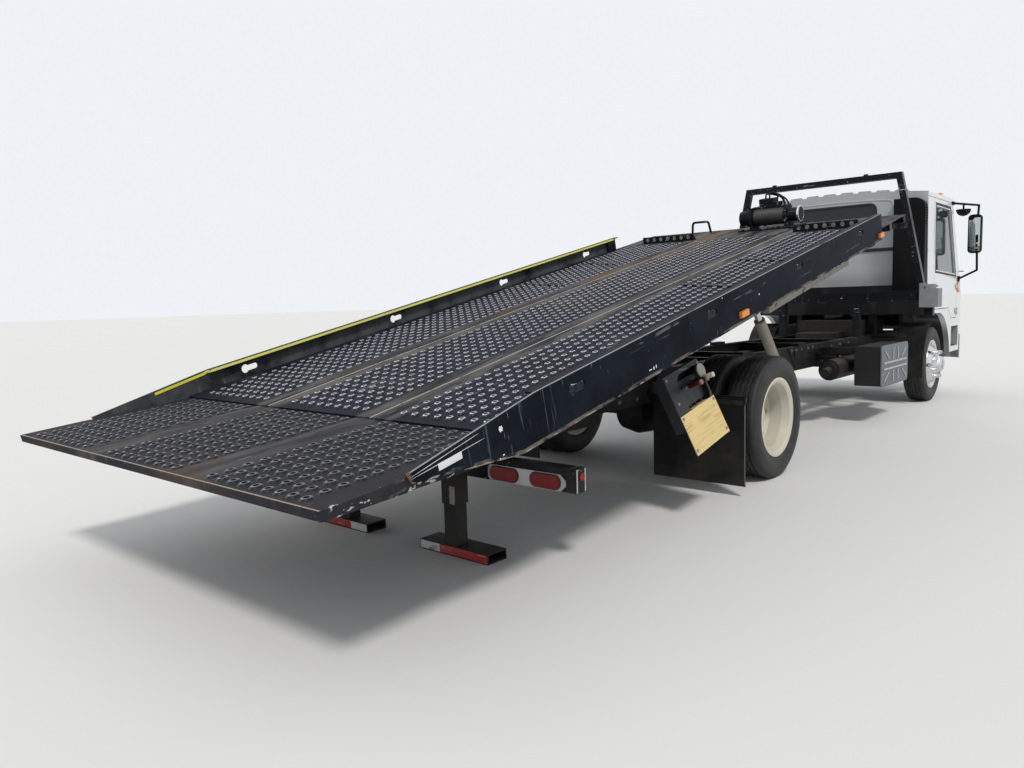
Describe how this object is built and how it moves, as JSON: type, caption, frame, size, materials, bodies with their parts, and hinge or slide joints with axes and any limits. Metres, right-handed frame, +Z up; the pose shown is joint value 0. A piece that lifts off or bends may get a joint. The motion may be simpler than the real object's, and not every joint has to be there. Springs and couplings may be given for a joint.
{
  "type": "flatbed tow truck",
  "caption": "Cab-over flatbed recovery truck with a tilted sliding steel bed, winch, cab rack, tail stabilizer legs, twin rear wheels and steered front wheels.",
  "frame": {"origin": "on the ground at the middle of the truck's length and width", "axes": "+X to the truck's left, -Y towards its front, +Z up"},
  "size_m": [2.486, 9.317, 2.412],
  "materials": {
    "black_frame": "satin black paint with road dust",
    "cast_grey": "as cast",
    "steel_bare": "worn bare steel",
    "cover_grey": "grey pressed cover",
    "aluminium_tank": "brushed",
    "white_paint": "gloss white paint",
    "grey_plastic": "moulded",
    "rack_black": "gloss black paint, scratched",
    "red_lens": "lens",
    "flap_rubber": "matt",
    "tyre_rubber": "worn rubber",
    "chrome_rim": "polished",
    "cream_rim": "cream paint, dusty",
    "window_glass": "clear tinted",
    "seat_cloth": "woven",
    "black_plastic": "moulded black",
    "clear_lens": "clear lens over reflector",
    "chrome_rod": "ground and plated",
    "deck_steel": "dark paint, worn and stained with rust",
    "rail_steel": "dark blue-black paint, scratched",
    "amber_lens": "lens",
    "ram_tan": "tan-grey primer",
    "gold_plate": "gold-coloured plated steel"
  },
  "bodies": {
    "chassis": {"frame_rails": "black_frame", "rear_springs": "black_frame", "front_springs": "black_frame", "rear_axle": "black_frame", "front_axle": "black_frame", "engine_block": "cast_grey", "driveshaft": "steel_bare", "battery_box": "cover_grey", "fuel_tank": "aluminium_tank", "muffler": "steel_bare", "air_tank": "black_frame", "bumper": "white_paint", "front_guards": "grey_plastic", "cab_rack": "rack_black", "tail_frame": "black_frame", "lamp_bar": "rack_black", "lamp_frames": "cover_grey", "tail_lamps": "red_lens", "mud_flaps": "flap_rubber"},
    "stabilizer_leg_left": {"stabilizer_left": "black_frame"},
    "stabilizer_leg_right": {"stabilizer_right": "black_frame"},
    "steering_knuckle_left": {"knuckle_left": "black_frame"},
    "steering_knuckle_right": {"knuckle_right": "black_frame"},
    "front_wheel_left": {"tyre_front_left": "tyre_rubber", "rim_front_left": "chrome_rim"},
    "front_wheel_right": {"tyre_front_right": "tyre_rubber", "rim_front_right": "chrome_rim"},
    "rear_wheels_left": {"tyres_rear_left": "tyre_rubber", "rims_rear_left": "cream_rim"},
    "rear_wheels_right": {"tyres_rear_right": "tyre_rubber", "rims_rear_right": "cream_rim"},
    "cab": {"cab_shell": "white_paint", "cab_glass": "window_glass", "seats": "seat_cloth", "dashboard": "grey_plastic", "steering_wheel": "grey_plastic", "air_intake": "black_plastic", "cab_mirrors": "black_plastic", "headlamps": "clear_lens", "grille": "black_plastic"},
    "left_door": {"door_left": "white_paint", "door_glass_left": "window_glass"},
    "right_door": {"door_right": "white_paint", "door_glass_right": "window_glass"},
    "tilting_frame": {"tilt_frame": "rack_black", "control_consoles": "rack_black", "console_plates": "gold_plate", "slide_barrel": "rack_black"},
    "bed": {"bed_frame": "deck_steel", "bed_deck": "deck_steel", "side_rails": "rail_steel", "side_bars": "ram_tan", "slide_rod": "chrome_rod", "wheel_stops": "rack_black", "winch": "rack_black", "grab_loop": "steel_bare", "side_markers": "amber_lens"},
    "drum": {"winch_drum": "steel_bare"},
    "tilt_cylinders": {"tilt_barrels": "ram_tan"},
    "tilt_cylinder_rods": {"tilt_rods": "chrome_rod"}
  },
  "joints": [
    {"name": "bed_tilt", "type": "hinge", "parent": "chassis", "child": "tilting_frame", "pos_m": [0, 2.47154, 0.82027], "axis": [-1, 0, 0], "range_deg": [-12.36, 0]},
    {"name": "bed_slide", "type": "slide", "parent": "tilting_frame", "child": "bed", "axis": [0, 0.9768, -0.214], "range_m": [-1.1, 2.2]},
    {"name": "winch_turn", "type": "hinge", "parent": "bed", "child": "drum", "pos_m": [-0.121, -1.13262, 1.91998], "axis": [1, 0, 0], "continuous": true},
    {"name": "tilt_cylinder_swing", "type": "hinge", "parent": "chassis", "child": "tilt_cylinders", "pos_m": [0, -0.36848, 0.6], "axis": [1, 0, 0], "range_deg": [-27.24, 0]},
    {"name": "tilt_cylinder_stroke", "type": "slide", "parent": "tilt_cylinders", "child": "tilt_cylinder_rods", "axis": [0, 0.6831, 0.7304], "range_m": [-0.3159, 0]},
    {"name": "stabilizer_lift_left", "type": "slide", "parent": "chassis", "child": "stabilizer_leg_left", "axis": [0, 0, 1], "range_m": [0, 0.19]},
    {"name": "stabilizer_lift_right", "type": "slide", "parent": "chassis", "child": "stabilizer_leg_right", "axis": [0, 0, 1], "range_m": [0, 0.19]},
    {"name": "steer_left", "type": "hinge", "parent": "chassis", "child": "steering_knuckle_left", "pos_m": [0.74, -3.52848, 0.405], "axis": [0, 0, 1], "range_deg": [-38, 38]},
    {"name": "steer_right", "type": "hinge", "parent": "chassis", "child": "steering_knuckle_right", "pos_m": [-0.74, -3.52848, 0.405], "axis": [0, 0, 1], "range_deg": [-38, 38]},
    {"name": "front_wheel_turn_left", "type": "hinge", "parent": "steering_knuckle_left", "child": "front_wheel_left", "pos_m": [0.8475, -3.52848, 0.405], "axis": [1, 0, 0], "continuous": true},
    {"name": "front_wheel_turn_right", "type": "hinge", "parent": "steering_knuckle_right", "child": "front_wheel_right", "pos_m": [-0.8475, -3.52848, 0.405], "axis": [1, 0, 0], "continuous": true},
    {"name": "rear_wheel_turn_left", "type": "hinge", "parent": "chassis", "child": "rear_wheels_left", "pos_m": [0.8175, 0.94152, 0.405], "axis": [1, 0, 0], "continuous": true},
    {"name": "rear_wheel_turn_right", "type": "hinge", "parent": "chassis", "child": "rear_wheels_right", "pos_m": [-0.8175, 0.94152, 0.405], "axis": [1, 0, 0], "continuous": true},
    {"name": "cab_tilt", "type": "hinge", "parent": "chassis", "child": "cab", "pos_m": [0, -4.45848, 0.72], "axis": [1, 0, 0], "range_deg": [0, 45]},
    {"name": "door_swing_left", "type": "hinge", "parent": "cab", "child": "left_door", "pos_m": [1.011, -4.33048, 1.1], "axis": [0, 0, -1], "range_deg": [0, 65]},
    {"name": "door_swing_right", "type": "hinge", "parent": "cab", "child": "right_door", "pos_m": [-1.011, -4.33048, 1.1], "axis": [0, 0, 1], "range_deg": [0, 65]}
  ],
  "couplings": [
    {"joint": "steer_right", "follows": "steer_left", "ratio": 1},
    {"joint": "tilt_cylinder_swing", "follows": "bed_tilt", "ratio": 2.1969},
    {"joint": "tilt_cylinder_stroke", "follows": "bed_tilt", "m_per_rad": 1.4603}
  ]
}
